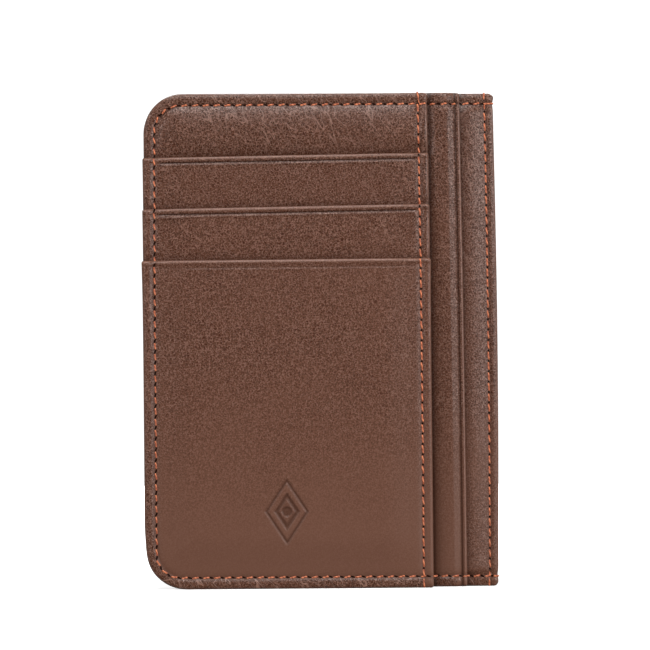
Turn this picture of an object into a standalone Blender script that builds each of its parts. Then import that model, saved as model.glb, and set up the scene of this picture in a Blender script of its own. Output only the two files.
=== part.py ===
"""Slim card wallet of sewn leather, modelled ply by ply.

X runs across the wallet, Z up its height, and the card pockets face -Y. It stands on its
bottom edge, with the origin under its middle. From the back it is made of a back panel, a
slip panel and a front leaf, which is a base panel with three card pockets. One seam joins
them along the top, the left side and the bottom, so two slots open to the right, and the
three pockets open upwards. A panel's leather turned back over its edge is what closes the
sides of the slot behind it, and each such flap is its own solid.
"""

import math

import bmesh
import bpy

# Driving dimensions, in metres
HEIGHT = 0.112
LEFT_EDGE = -0.0397            # left edge of the back, slip and base panels
WRAP = 0.0001                  # how far each card pocket stands out past the ply under it
TOP_LEFT_RADIUS = 0.0083
BOTTOM_LEFT_RADIUS = 0.0075
RIGHT_RADIUS = 0.0008

BACK_RIGHT = (0.0400, 0.0393)  # right edge of the back panel, at the bottom and at the top
SLIP_RIGHT = (0.0327, 0.0321)
BASE_RIGHT = (0.0250, 0.0247)

POCKET_TOPS = {                # height of each pocket's top edge at X = 0, and its slope
    "upper": (0.0981, 0.011),
    "middle": (0.0865, 0.012),
    "front": (0.0744, 0.003),
}
POCKET_STOPS = {"upper": 0.0255, "middle": 0.0140}

CARD_GAP = 0.00085             # clear depth of a slot: an ID-1 card is 0.76 mm thick
PLY_GAP = 0.0001               # air between two plies that lie on each other
PANEL_FLAP = 0.006             # width of the leather turned back over a panel's edge
POCKET_LEFT_FLAP = -0.0345     # inner edges of a pocket's side flaps: a card is 54 mm wide
POCKET_RIGHT_FLAP = 0.0202
POCKET_BOTTOM_FLAP = 0.0055
STOP_WIDTH = 0.003             # height of the tacked strip that a card stands on
HEM_START = 0.0260             # where the turned right edges of the back and slip panels end
BASE_LINING_END = 0.0222
LINING_INSET = 0.0004          # linings and hems stop this short of the top and bottom edges
FLAP_SPACING = 0.0003

LEATHER_BEVEL = 0.00015
CORNER_STEPS = 8
THREAD_WIDTH = 0.0004
THREAD_DEPTH = 0.0002
CHANNEL_WIDTH = 0.0008         # pressed channels in the back, which sink its threads below flush
CHANNEL_DEPTH = 0.0004
CHANNEL_RUN_OUT = 0.0010       # past the thread's ends: out of the edge, or into the other channel
SEAM_INSET = 0.0026            # perimeter seam to the panels' edge
SEAM_END = 0.0390              # the perimeter seam's two ends, near the open right edge
CARD_SEAM = (0.0230, 0.0226)   # X of the seam beside the cards, at the bottom and at the top
HEM_SEAM = (0.0379, 0.0374)
SEAM_CLEARANCE = 0.0008        # room left where two seams would cross
CLIMB_START = 0.0006           # a seam climbs onto a ply between these distances from its edge
CLIMB_END = 0.0002

# Thickness of each ply from the back face to the front; the slots are the open spaces
STACK = (
    ("back_panel", 0.00110),
    ("back_lining", 0.00015),
    ("slip_slot", CARD_GAP),
    ("slip_lining", 0.00015),
    ("slip_panel", 0.00060),
    ("base_slot", CARD_GAP),
    ("base_lining", 0.00015),
    ("base_panel", 0.00060),
    ("upper_slot", CARD_GAP),
    ("upper_lining", 0.00015),
    ("upper_pocket", 0.00050),
    ("middle_slot", CARD_GAP),
    ("middle_lining", 0.00015),
    ("middle_pocket", 0.00050),
    ("front_slot", CARD_GAP),
    ("front_lining", 0.00015),
    ("front_pocket", 0.00065),
    ("front_thread", THREAD_DEPTH),
)

LEATHER = ((0.156, 0.080, 0.058), 0.45)
LINING = ((0.060, 0.036, 0.027), 0.85)
THREAD = ((0.610, 0.171, 0.080), 0.60)


def clear_scene():
    for old in list(bpy.data.objects):
        bpy.data.objects.remove(old, do_unlink=True)


def stack_depths():
    """Give every ply and slot its back and front Y, with the whole stack centred on Y = 0."""
    spans = {}
    depth = 0.0
    before = None
    for name, thickness in STACK:
        beside_slot = name.endswith("_slot") or (before or "").endswith("_slot")
        if before and not beside_slot:
            depth += PLY_GAP
        spans[name] = (depth, depth + thickness)
        depth += thickness
        before = name
    half = depth / 2
    return {name: (half - near, half - far) for name, (near, far) in spans.items()}


def finish(name, look):
    colour, roughness = look
    material = bpy.data.materials.new(name)
    material.use_nodes = True
    shader = material.node_tree.nodes["Principled BSDF"]
    shader.inputs["Base Color"].default_value = (*colour, 1.0)
    shader.inputs["Roughness"].default_value = roughness
    shader.inputs["Metallic"].default_value = 0.0
    return material


def arc(centre, radius, start, end):
    cx, cz = centre
    points = []
    for step in range(CORNER_STEPS + 1):
        angle = math.radians(start + (end - start) * step / CORNER_STEPS)
        points.append((cx + radius * math.cos(angle), cz + radius * math.sin(angle)))
    return points


def panel_outline(left, right):
    """Panel seen from the front: two round corners on the left, two nearly square ones."""
    bottom_right, top_right = right
    low = left + BOTTOM_LEFT_RADIUS
    high = left + TOP_LEFT_RADIUS
    outline = arc((low, BOTTOM_LEFT_RADIUS), BOTTOM_LEFT_RADIUS, 180, 270)
    outline += arc((bottom_right - RIGHT_RADIUS, RIGHT_RADIUS), RIGHT_RADIUS, 270, 360)
    outline += arc((top_right - RIGHT_RADIUS, HEIGHT - RIGHT_RADIUS), RIGHT_RADIUS, 0, 90)
    outline += arc((high, HEIGHT - TOP_LEFT_RADIUS), TOP_LEFT_RADIUS, 90, 180)
    return outline


def keep_below(height, slope=0.0):
    return (0, 0, height), (-slope, 0, 1)


def keep_above(height):
    return (0, 0, height), (0, 0, -1)


def keep_left_of(x):
    return (x, 0, 0), (1, 0, 0)


def keep_right_of(x):
    return (x, 0, 0), (-1, 0, 0)


def keep_inside():
    return keep_above(LINING_INSET), keep_below(HEIGHT - LINING_INSET)


def place(name, bm, span, look, wallet):
    bmesh.ops.recalc_face_normals(bm, faces=bm.faces)
    mesh = bpy.data.meshes.new(name)
    bm.to_mesh(mesh)
    bm.free()
    piece = bpy.data.objects.new(name, mesh)
    piece.location.y = span[0]
    piece.parent = wallet
    piece.data.materials.append(finish(name, look))
    bpy.context.scene.collection.objects.link(piece)
    return piece


def ply(name, outline, span, look, wallet, cuts=()):
    """One flat ply: its outline, cut along straight lines, then given its thickness."""
    bm = bmesh.new()
    bm.faces.new([bm.verts.new((x, 0, z)) for x, z in outline])
    for point, outward in cuts:
        parts = bm.verts[:] + bm.edges[:] + bm.faces[:]
        bmesh.ops.bisect_plane(
            bm, geom=parts, plane_co=point, plane_no=outward, clear_outer=True)
    bmesh.ops.remove_doubles(bm, verts=bm.verts, dist=0.000001)
    grown = bmesh.ops.extrude_face_region(bm, geom=bm.faces[:])
    moved = [item for item in grown["geom"] if isinstance(item, bmesh.types.BMVert)]
    bmesh.ops.translate(bm, verts=moved, vec=(0, span[1] - span[0], 0))
    return place(name, bm, span, look, wallet)


def leather(name, outline, span, wallet, cuts=()):
    piece = ply(name, outline, span, LEATHER, wallet, cuts)
    rounded = piece.modifiers.new("rounded edge", "BEVEL")
    rounded.width = LEATHER_BEVEL
    rounded.segments = 1
    rounded.limit_method = "ANGLE"
    rounded.angle_limit = math.radians(60)
    return piece


def flap_span(slot_span):
    return slot_span[0] - PLY_GAP, slot_span[1] + PLY_GAP


def panel_flaps(panel, outline, slot_span, wallet):
    """Leather turned back along the top, the left side and the bottom of a panel."""
    top = HEIGHT - PANEL_FLAP
    inner = LEFT_EDGE + PANEL_FLAP
    edges = {
        "top_flap": (keep_above(top),),
        "left_flap": (
            keep_left_of(inner),
            keep_below(top - FLAP_SPACING),
            keep_above(PANEL_FLAP + FLAP_SPACING),
        ),
        "bottom_flap": (keep_below(PANEL_FLAP),),
    }
    for edge, cuts in edges.items():
        ply(f"{panel}_{edge}", outline, flap_span(slot_span), LEATHER, wallet, cuts)


def lining_and_hem(panel, outline, span, wallet):
    """Lining glued to a panel, and the panel's right edge turned in over the lining's end."""
    lining = (keep_left_of(HEM_START - FLAP_SPACING), *keep_inside())
    hem = (keep_right_of(HEM_START), *keep_inside())
    ply(f"{panel}_lining", outline, span, LINING, wallet, lining)
    ply(f"{panel}_hem", outline, span, LEATHER, wallet, hem)


def back_panel(spans, wallet):
    outline = panel_outline(LEFT_EDGE, BACK_RIGHT)
    leather("back_panel", outline, spans["back_panel"], wallet)
    lining_and_hem("back_panel", outline, spans["back_lining"], wallet)


def slip_panel(spans, wallet):
    outline = panel_outline(LEFT_EDGE, SLIP_RIGHT)
    leather("slip_panel", outline, spans["slip_panel"], wallet)
    lining_and_hem("slip_panel", outline, spans["slip_lining"], wallet)
    panel_flaps("slip_panel", outline, spans["slip_slot"], wallet)


def base_panel(spans, wallet):
    outline = panel_outline(LEFT_EDGE, BASE_RIGHT)
    leather("base_panel", outline, spans["base_panel"], wallet)
    cuts = (keep_left_of(BASE_LINING_END), *keep_inside())
    ply("base_panel_lining", outline, spans["base_lining"], LINING, wallet, cuts)
    panel_flaps("base_panel", outline, spans["base_slot"], wallet)


def card_pocket(pocket, layer, spans, wallet):
    """Leather with its lining, and the flaps that close its sides and bottom."""
    outward = WRAP * layer
    right = tuple(edge + outward for edge in BASE_RIGHT)
    outline = panel_outline(LEFT_EDGE - outward, right)
    top_height, slope = POCKET_TOPS[pocket]
    mouth = keep_below(top_height, slope)
    behind_mouth = keep_below(top_height - FLAP_SPACING, slope)
    between_sides = (
        keep_right_of(POCKET_LEFT_FLAP + FLAP_SPACING),
        keep_left_of(POCKET_RIGHT_FLAP - FLAP_SPACING),
    )
    name = f"{pocket}_pocket"
    leather(name, outline, spans[name], wallet, (mouth,))
    cuts = (behind_mouth, *keep_inside())
    ply(f"{name}_lining", outline, spans[f"{pocket}_lining"], LINING, wallet, cuts)
    span = flap_span(spans[f"{pocket}_slot"])
    flaps = {
        "left_flap": (keep_left_of(POCKET_LEFT_FLAP), behind_mouth),
        "right_flap": (keep_right_of(POCKET_RIGHT_FLAP), behind_mouth),
        "bottom_flap": (*between_sides, keep_below(POCKET_BOTTOM_FLAP)),
    }
    for edge, cuts in flaps.items():
        ply(f"{name}_{edge}", outline, span, LEATHER, wallet, cuts)
    if pocket in POCKET_STOPS:
        foot = POCKET_STOPS[pocket]
        cuts = (*between_sides, keep_above(foot - STOP_WIDTH), keep_below(foot))
        ply(f"{name}_stop", outline, span, LINING, wallet, cuts)


def along(edge, height):
    """X of a leaning line, given its X at the bottom and at the top."""
    return edge[0] + (edge[1] - edge[0]) * height / HEIGHT


def leaf_edges(height):
    """Right edges of the slip panel and of the front leaf, whose pockets stand out furthest."""
    return along(SLIP_RIGHT, height), along(BASE_RIGHT, height) + WRAP * len(POCKET_TOPS)


def surface_y(x, z, spans):
    """Front face of the foremost ply at a place, where a seam climbs it just outside its edge."""
    slip_edge, leaf_edge = leaf_edges(z)
    middle = (CLIMB_START + CLIMB_END) / 2
    if x > slip_edge + middle:
        return spans["back_lining"][1]
    if x > leaf_edge + middle:
        return spans["slip_panel"][1]
    front = spans["base_panel"][1]
    for pocket, (height, slope) in POCKET_TOPS.items():
        if z < height + slope * x + middle:
            front = spans[f"{pocket}_pocket"][1]
    return front


def mouth_steps(x):
    """Heights at which a seam climbs onto each card pocket, from the top down."""
    heights = []
    for height, slope in POCKET_TOPS.values():
        edge = height + slope * x
        heights += [edge + CLIMB_START, edge + CLIMB_END]
    return heights


def edge_steps(height):
    """Places at which a level seam climbs onto the slip panel and the front leaf."""
    places = []
    for edge in leaf_edges(height):
        places += [edge + CLIMB_START, edge + CLIMB_END]
    return places


def perimeter_path():
    """Plan of the seam from the open edge along the top, down the left and along the bottom."""
    left = LEFT_EDGE + SEAM_INSET
    top = HEIGHT - SEAM_INSET
    bottom = SEAM_INSET
    top_radius = TOP_LEFT_RADIUS - SEAM_INSET
    bottom_radius = BOTTOM_LEFT_RADIUS - SEAM_INSET
    path = [(SEAM_END, top)] + [(x, top) for x in edge_steps(top)]
    path += arc((left + top_radius, top - top_radius), top_radius, 90, 180)
    path += [(left, z) for z in mouth_steps(left)]
    path += arc((left + bottom_radius, bottom + bottom_radius), bottom_radius, 180, 270)
    path += [(x, bottom) for x in reversed(edge_steps(bottom))] + [(SEAM_END, bottom)]
    return path


def upright_path(line, steps):
    top = HEIGHT - SEAM_INSET - SEAM_CLEARANCE
    bottom = SEAM_INSET + SEAM_CLEARANCE
    heights = [top] + [z for z in steps if bottom < z < top] + [bottom]
    return [(along(line, z), z) for z in heights]


def plan_normal(path, index):
    """Unit vector across the path at a point, halfway between its two runs."""
    before = path[max(index - 1, 0)]
    after = path[min(index + 1, len(path) - 1)]
    dx = after[0] - before[0]
    dz = after[1] - before[1]
    length = math.hypot(dx, dz)
    return -dz / length, dx / length


def band(path, depths, width, thickness):
    """A flat band along a seam: each depth is the Y of its back face."""
    bm = bmesh.new()
    rings = []
    for index, ((x, z), y) in enumerate(zip(path, depths)):
        across_x, across_z = plan_normal(path, index)
        ring = []
        for side, y_corner in ((-1, y), (1, y), (1, y - thickness), (-1, y - thickness)):
            offset = side * width / 2
            ring.append(bm.verts.new((x + across_x * offset, y_corner, z + across_z * offset)))
        rings.append(ring)
    for ring, following in zip(rings, rings[1:]):
        for corner in range(4):
            beside = (corner + 1) % 4
            bm.faces.new((ring[corner], ring[beside], following[beside], following[corner]))
    bm.faces.new(rings[0])
    bm.faces.new(reversed(rings[-1]))
    return bm


def seam(name, path, depths, thickness, wallet):
    bm = band(path, depths, THREAD_WIDTH, thickness)
    return place(name, bm, (0.0, 0.0), THREAD, wallet)


def sunk_seam(name, path, face, wallet):
    """Thread on the back face, in a channel cut a little longer than the seam."""
    panel = bpy.data.objects["back_panel"]
    first = stretched(path[0], path[1], CHANNEL_RUN_OUT)
    last = stretched(path[-1], path[-2], CHANNEL_RUN_OUT)
    longer = [first, *path[1:-1], last]
    cut = band(longer, [face + CHANNEL_DEPTH] * len(path), CHANNEL_WIDTH, 2 * CHANNEL_DEPTH)
    cutter = place(f"{name}_channel", cut, (0.0, 0.0), LEATHER, wallet)
    cutter.hide_render = True
    cutter.display_type = "WIRE"
    channel = panel.modifiers.new("seam channel", "BOOLEAN")
    channel.operation = "DIFFERENCE"
    channel.solver = "EXACT"
    channel.object = cutter
    seam(name, path, [face - PLY_GAP / 2] * len(path), THREAD_DEPTH, wallet)


def stretched(end, neighbour, extra):
    """The end of a path, moved away from its neighbour."""
    dx = end[0] - neighbour[0]
    dz = end[1] - neighbour[1]
    scale = 1 + extra / math.hypot(dx, dz)
    return neighbour[0] + dx * scale, neighbour[1] + dz * scale


def seams(spans, wallet):
    thin = spans["base_lining"][0] - spans["base_lining"][1]
    around = perimeter_path()
    beside_cards = upright_path(CARD_SEAM, mouth_steps(CARD_SEAM[1]))
    along_hem = upright_path(HEM_SEAM, [])
    fronts = {"perimeter": around, "card_seam": beside_cards, "hem_seam": along_hem}
    for name, path in fronts.items():
        depths = [surface_y(x, z, spans) - PLY_GAP for x, z in path]
        seam(f"{name}_front_thread", path, depths, THREAD_DEPTH, wallet)
    for name, path in {"perimeter": around, "hem_seam": along_hem}.items():
        sunk_seam(f"{name}_back_thread", path, spans["back_panel"][0], wallet)
    behind_base = upright_path(CARD_SEAM, [])
    inside = spans["base_lining"][0]
    seam("card_seam_back_thread", behind_base, [inside] * 2, thin, wallet)


def build_wallet():
    clear_scene()
    wallet = bpy.data.objects.new("wallet", None)
    bpy.context.scene.collection.objects.link(wallet)
    spans = stack_depths()
    back_panel(spans, wallet)
    slip_panel(spans, wallet)
    base_panel(spans, wallet)
    for layer, pocket in enumerate(POCKET_TOPS, start=1):
        card_pocket(pocket, layer, spans, wallet)
    seams(spans, wallet)


build_wallet()
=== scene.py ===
import math
import random

import bpy
import numpy as np
from mathutils import Matrix, Vector


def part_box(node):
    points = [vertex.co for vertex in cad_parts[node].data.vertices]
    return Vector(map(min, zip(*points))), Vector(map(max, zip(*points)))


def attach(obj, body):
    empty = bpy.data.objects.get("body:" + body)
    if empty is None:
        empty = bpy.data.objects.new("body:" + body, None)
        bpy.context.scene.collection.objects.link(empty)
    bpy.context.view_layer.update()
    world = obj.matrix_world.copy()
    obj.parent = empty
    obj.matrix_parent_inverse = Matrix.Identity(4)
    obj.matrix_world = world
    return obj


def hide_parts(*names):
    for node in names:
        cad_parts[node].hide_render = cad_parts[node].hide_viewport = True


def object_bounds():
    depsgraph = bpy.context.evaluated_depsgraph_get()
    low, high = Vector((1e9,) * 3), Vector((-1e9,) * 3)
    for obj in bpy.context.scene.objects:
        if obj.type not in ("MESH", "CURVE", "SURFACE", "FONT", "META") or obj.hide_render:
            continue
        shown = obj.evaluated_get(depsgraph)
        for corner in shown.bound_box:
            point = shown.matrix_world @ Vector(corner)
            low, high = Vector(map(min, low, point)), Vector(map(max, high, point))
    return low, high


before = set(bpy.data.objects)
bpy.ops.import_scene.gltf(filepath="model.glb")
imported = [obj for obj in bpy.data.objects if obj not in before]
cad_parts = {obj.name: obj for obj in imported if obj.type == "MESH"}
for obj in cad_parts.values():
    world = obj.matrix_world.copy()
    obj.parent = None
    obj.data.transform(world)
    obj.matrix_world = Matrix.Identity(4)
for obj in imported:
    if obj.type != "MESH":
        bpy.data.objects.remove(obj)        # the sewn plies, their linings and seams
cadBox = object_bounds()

mm = 0.001
wallet = {"height": cadBox[1][2] / mm}


# camera, light and floor

shot = {
    "distance": 1.6,          # from the lens to the front of the wallet
    "aimX": 0.00113,
    "aimZ": 0.05953,
    "tilt": 0.45,             # degrees that the camera leans
    "seen": 0.1468,           # width of the view at the wallet
    "sensor": 36.0,
    "clipStart": 0.05,
}

studio = {
    "backdrop": 1.15,         # brightness behind the wallet
    "ambient": 0.06,          # brightness of the room in front of it
    "floor": (0.90, 0.90, 0.90),
    "floorSize": 6.0,
    "floorBounce": (0.22, 0.21, 0.20),      # what it throws back at the wallet
    "floorGlow": (0.62, 1.1, 0.06, 0.30),   # near, far, from this radius to this one
    "lights": [
        # name, place, size, watts, colour
        ("overhead", (-0.08, -0.50, 0.80), 0.50, 4.45, (1.0, 0.99, 0.98)),
        ("right side", (0.85, -0.55, 0.30), 0.50, 4.5, (0.98, 0.99, 1.0)),
        ("left side", (-0.85, -0.35, 0.50), 0.35, 1.6, (1.0, 1.0, 1.0)),
        ("front above", (0.05, -0.92, 0.60), 0.30, 1.55, (1.0, 1.0, 1.0)),
        ("front right", (0.52, -0.92, 0.12), 0.30, 1.80, (1.0, 1.0, 1.0)),
        ("front left", (-0.52, -0.92, 0.16), 0.22, 0.9, (1.0, 1.0, 1.0)),
        ("behind", (0.10, 0.95, 0.30), 0.60, 5.0, (1.0, 1.0, 1.0)),
    ],
}


def deselectAll():
    if bpy.context.mode != "OBJECT":
        bpy.ops.object.mode_set(mode="OBJECT")
    for item in bpy.context.selected_objects:
        item.select_set(False)


def makeActive(piece):
    deselectAll()
    piece.select_set(True)
    bpy.context.view_layer.objects.active = piece


def addCamera():
    front = cadBox[0][1]
    bpy.ops.object.camera_add(
        location=(shot["aimX"], front - shot["distance"], shot["aimZ"]),
        rotation=(math.radians(90), math.radians(shot["tilt"]), 0))
    camera = bpy.context.object
    camera.name = "camera"
    camera.data.sensor_width = shot["sensor"]
    camera.data.lens = shot["sensor"] * shot["distance"] / shot["seen"]
    camera.data.clip_start = shot["clipStart"]
    bpy.context.scene.camera = camera


def addLights():
    target = Vector((0, 0, wallet["height"] * mm / 2))
    for name, place, size, watts, colour in studio["lights"]:
        bpy.ops.object.light_add(type="AREA", location=place)
        light = bpy.context.object
        light.name = name
        light.data.size = size
        light.data.energy = watts
        light.data.color = colour
        light.rotation_euler = (target - light.location).to_track_quat("-Z", "Y").to_euler()


def addWorld():
    # white to the camera, dim to everything else
    world = bpy.data.worlds.new("studio")
    world.use_nodes = True
    nodes, links = world.node_tree.nodes, world.node_tree.links
    background = nodes["Background"]
    background.inputs["Color"].default_value = (1, 1, 1, 1)
    seen = nodes.new("ShaderNodeLightPath")
    strength = nodes.new("ShaderNodeMapRange")
    strength.inputs["To Min"].default_value = studio["ambient"]
    strength.inputs["To Max"].default_value = studio["backdrop"]
    links.new(seen.outputs["Is Camera Ray"], strength.inputs["Value"])
    links.new(strength.outputs["Result"], background.inputs["Strength"])
    bpy.context.scene.world = world
    bpy.context.scene.view_settings.view_transform = "Standard"


def addFloor():
    # a pale table, to the camera whiter and whiter away from the wallet
    deselectAll()
    bpy.ops.mesh.primitive_plane_add(size=studio["floorSize"], location=(0, 0, 0))
    floor = bpy.context.object
    floor.name = "floor"
    paint = bpy.data.materials.new("floor")
    paint.use_nodes = True
    nodes, links = paint.node_tree.nodes, paint.node_tree.links
    shader = nodes["Principled BSDF"]
    shader.inputs["Roughness"].default_value = 0.9
    shader.inputs["Specular IOR Level"].default_value = 0.1
    shader.inputs["Emission Color"].default_value = (1, 1, 1, 1)
    place = nodes.new("ShaderNodeTexCoord")
    distance = nodes.new("ShaderNodeVectorMath")
    distance.operation = "LENGTH"
    links.new(place.outputs["Object"], distance.inputs[0])
    glow = nodes.new("ShaderNodeMapRange")
    glow.interpolation_type = "SMOOTHSTEP"
    near, far, start, end = studio["floorGlow"]
    for key, value in (("From Min", start), ("From Max", end), ("To Min", near), ("To Max", far)):
        glow.inputs[key].default_value = value
    links.new(distance.outputs["Value"], glow.inputs["Value"])
    seen = nodes.new("ShaderNodeLightPath")
    tone = nodes.new("ShaderNodeMix")
    tone.data_type = "RGBA"
    tone.inputs[6].default_value = (*studio["floorBounce"], 1)
    tone.inputs[7].default_value = (*studio["floor"], 1)
    links.new(seen.outputs["Is Camera Ray"], tone.inputs[0])
    links.new(tone.outputs[2], shader.inputs["Base Color"])
    toCamera = nodes.new("ShaderNodeMath")
    toCamera.operation = "MULTIPLY"
    links.new(glow.outputs["Result"], toCamera.inputs[0])
    links.new(seen.outputs["Is Camera Ray"], toCamera.inputs[1])
    links.new(toCamera.outputs["Value"], shader.inputs["Emission Strength"])
    floor.data.materials.append(paint)


deselectAll()
addCamera()
addLights()
addWorld()
addFloor()
print("studio is set")


# node helpers

def newFinish(name):
    finish = bpy.data.materials.new(name)
    finish.use_nodes = True
    return finish, finish.node_tree.nodes, finish.node_tree.links


def addNode(nodes, kind, **values):
    node = nodes.new("ShaderNode" + kind)
    for key, value in values.items():
        if hasattr(node, key):
            setattr(node, key, value)
        else:
            node.inputs[key].default_value = value
    return node


def mapRange(nodes, links, source, low, high, toLow, toHigh):
    node = addNode(nodes, "MapRange")
    links.new(source, node.inputs["Value"])
    for key, value in (("From Min", low), ("From Max", high), ("To Min", toLow), ("To Max", toHigh)):
        node.inputs[key].default_value = value
    return node.outputs["Result"]


def blendColours(nodes, links, factor, first, second, mode="MIX"):
    node = addNode(nodes, "Mix", data_type="RGBA", blend_type=mode)
    links.new(factor, node.inputs[0])
    for socket, value in ((node.inputs[6], first), (node.inputs[7], second)):
        if isinstance(value, tuple):
            socket.default_value = (*value, 1)
        else:
            links.new(value, socket)
    return node.outputs[2]


def maths(nodes, links, operation, first, second):
    node = addNode(nodes, "Math", operation=operation)
    for socket, value in zip(node.inputs, (first, second)):
        if isinstance(value, (int, float)):
            socket.default_value = value
        else:
            links.new(value, socket)
    return node.outputs[0]


# finishes

leather = {
    "hide": (0.178, 0.083, 0.055),       # where the grain is smooth
    "cell": (0.090, 0.025, 0.009),       # where the grain is strong
    "deep": (0.042, 0.013, 0.006),       # in pressed lines and pores, and as painted shade in the grain's hollows, above pocket mouths and beside edges
    "wornAndHighlight": (0.312, 0.148, 0.098),       # the network of the grain and the rubbed edges, lighter as the grain's own lines and as a painted highlight
    "cells": 1500.0,                     # grain cells per metre
    "smallCells": 2700.0,
    "pebbles": 2900.0,
    "wander": 0.00045,                   # how far the grain strays from straight lines
    "wanderScale": 1300.0,
    "gaps": 1700.0,                      # places where the network fades
    "wrinkles": 430.0,
    "wrinkleLean": -27,                  # degrees
    "wrinkleLength": 3.2,                # to their width
    "mottle": 60.0,
    "speckle": 5200.0,
    "grainDepth": 0.00012,
    "wrinkleDepth": 0.00014,
    # how much lighter the rolled edges and pocket lips are: rubbed wear and a painted highlight
    "rimWearAndHighlight": 0.45,
    "pressedAndShadeDark": 0.82,
    "roughness": (0.36, 0.44),           # on the borders of the cells and in them
    "shine": (0.0, 0.35),                # in the cells and on their borders
    "coat": (0.34, 1.0),                 # the same
    "coatRoughness": 0.34,
}


def leatherFinish(name):
    finish, nodes, links = newFinish(name)
    shader = nodes["Principled BSDF"]
    place = addNode(nodes, "TexCoord").outputs["Object"]

    warp = addNode(nodes, "TexNoise", Scale=leather["wanderScale"], Detail=2.0, Roughness=0.6)
    links.new(place, warp.inputs["Vector"])
    shift = addNode(nodes, "VectorMath", operation="MULTIPLY_ADD")
    links.new(warp.outputs["Color"], shift.inputs[0])
    shift.inputs[1].default_value = (leather["wander"],) * 3
    links.new(place, shift.inputs[2])
    warped = shift.outputs[0]

    # two sizes of cells, with fine lines between them
    cells = addNode(nodes, "TexVoronoi", feature="DISTANCE_TO_EDGE", Scale=leather["cells"])
    links.new(warped, cells.inputs["Vector"])
    network = mapRange(nodes, links, cells.outputs["Distance"], 0.02, 0.16, 1.0, 0.0)
    smallCells = addNode(nodes, "TexVoronoi", feature="DISTANCE_TO_EDGE", Scale=leather["smallCells"])
    links.new(warped, smallCells.inputs["Vector"])
    smallNetwork = mapRange(nodes, links, smallCells.outputs["Distance"], 0.0, 0.20, 1.0, 0.0)
    gaps = addNode(nodes, "TexNoise", Scale=leather["gaps"], Detail=2.0, Roughness=0.6)
    links.new(place, gaps.inputs["Vector"])
    kept = mapRange(nodes, links, gaps.outputs["Fac"], 0.42, 0.62, 0.10, 1.0)
    network = maths(nodes, links, "MULTIPLY", network, kept)
    smallKept = mapRange(nodes, links, gaps.outputs["Fac"], 0.35, 0.58, 0.55, 0.0)
    smallNetwork = maths(nodes, links, "MULTIPLY", smallNetwork, smallKept)
    grain = maths(nodes, links, "MAXIMUM", network, smallNetwork)
    pebbles = addNode(nodes, "TexNoise", Scale=leather["pebbles"], Detail=1.0, Roughness=0.5)
    links.new(place, pebbles.inputs["Vector"])
    raised = mapRange(nodes, links, pebbles.outputs["Fac"], 0.53, 0.68, 0.0, 1.0)
    sunken = mapRange(nodes, links, pebbles.outputs["Fac"], 0.52, 0.38, 0.0, 1.0)
    grain = maths(nodes, links, "MAXIMUM", grain, raised)

    # slanting wrinkles
    turned = addNode(nodes, "Mapping", vector_type="TEXTURE")
    turned.inputs["Rotation"].default_value = (0, math.radians(leather["wrinkleLean"]), 0)
    turned.inputs["Scale"].default_value = (1.0, 1.0, leather["wrinkleLength"])
    links.new(place, turned.inputs["Vector"])
    waves = addNode(nodes, "TexNoise", Scale=leather["wrinkles"], Detail=1.2, Roughness=0.5, Distortion=0.5)
    links.new(turned.outputs["Vector"], waves.inputs["Vector"])
    ridged = maths(nodes, links, "ABSOLUTE", maths(nodes, links, "SUBTRACT", waves.outputs["Fac"], 0.5), 0)
    wrinkles = mapRange(nodes, links, ridged, 0.002, 0.020, 1.0, 0.0)

    # how strong both are at each place
    mottle = addNode(nodes, "TexNoise", Scale=leather["mottle"], Detail=3.0, Roughness=0.55)
    links.new(place, mottle.inputs["Vector"])
    patch = mapRange(nodes, links, mottle.outputs["Fac"], 0.35, 0.65, 0.8, 1.15)
    strength = addNode(nodes, "Attribute", attribute_name="grain").outputs["Fac"]
    strength = maths(nodes, links, "MULTIPLY", strength, patch)
    folded = addNode(nodes, "Attribute", attribute_name="wrinkle").outputs["Fac"]
    lines = maths(nodes, links, "MULTIPLY", grain, strength)
    folds = maths(nodes, links, "MULTIPLY", wrinkles, folded)

    # colour
    speckle = addNode(nodes, "TexNoise", Scale=leather["speckle"], Detail=1.0)
    links.new(place, speckle.inputs["Vector"])
    rim = addNode(nodes, "Attribute", attribute_name="rim").outputs["Fac"]
    pressedAndShade = addNode(nodes, "Attribute", attribute_name="pressedAndShade").outputs["Fac"]
    # painted highlight: the grain's network and the wrinkles are made lighter where light would glint on
    # them, partly the grain's own lighter lines
    light = maths(nodes, links, "ADD", lines, maths(nodes, links, "MULTIPLY", folds, 1.1))
    broken = mapRange(nodes, links, speckle.outputs["Fac"], 0.3, 0.7, 0.5, 1.1)
    light = maths(nodes, links, "MULTIPLY", light, broken)
    # rims and pocket lips lighter: rubbed wear and a painted highlight
    light = maths(nodes, links, "ADD", light, maths(nodes, links, "MULTIPLY", rim, leather["rimWearAndHighlight"]))
    # painted shade in the sunken pebbles of the grain
    shade = maths(nodes, links, "MULTIPLY", sunken, strength)
    body = blendColours(nodes, links, strength, leather["hide"], leather["cell"])
    body = blendColours(nodes, links, shade, body, leather["deep"])
    body = blendColours(nodes, links, light, body, leather["wornAndHighlight"])
    # darkens pressed lines, along with the painted shade and shadows carried in the same attribute
    dark = maths(nodes, links, "MULTIPLY", pressedAndShade, leather["pressedAndShadeDark"])
    body = blendColours(nodes, links, dark, body, leather["deep"])
    links.new(body, shader.inputs["Base Color"])

    rough = mapRange(nodes, links, light, 0.0, 1.0, leather["roughness"][1], leather["roughness"][0])
    links.new(rough, shader.inputs["Roughness"])
    links.new(
        mapRange(nodes, links, light, 0.0, 0.7, *leather["shine"]), shader.inputs["Specular IOR Level"])
    links.new(mapRange(nodes, links, light, 0.0, 0.6, *leather["coat"]), shader.inputs["Coat Weight"])
    shader.inputs["Coat Roughness"].default_value = leather["coatRoughness"]

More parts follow.
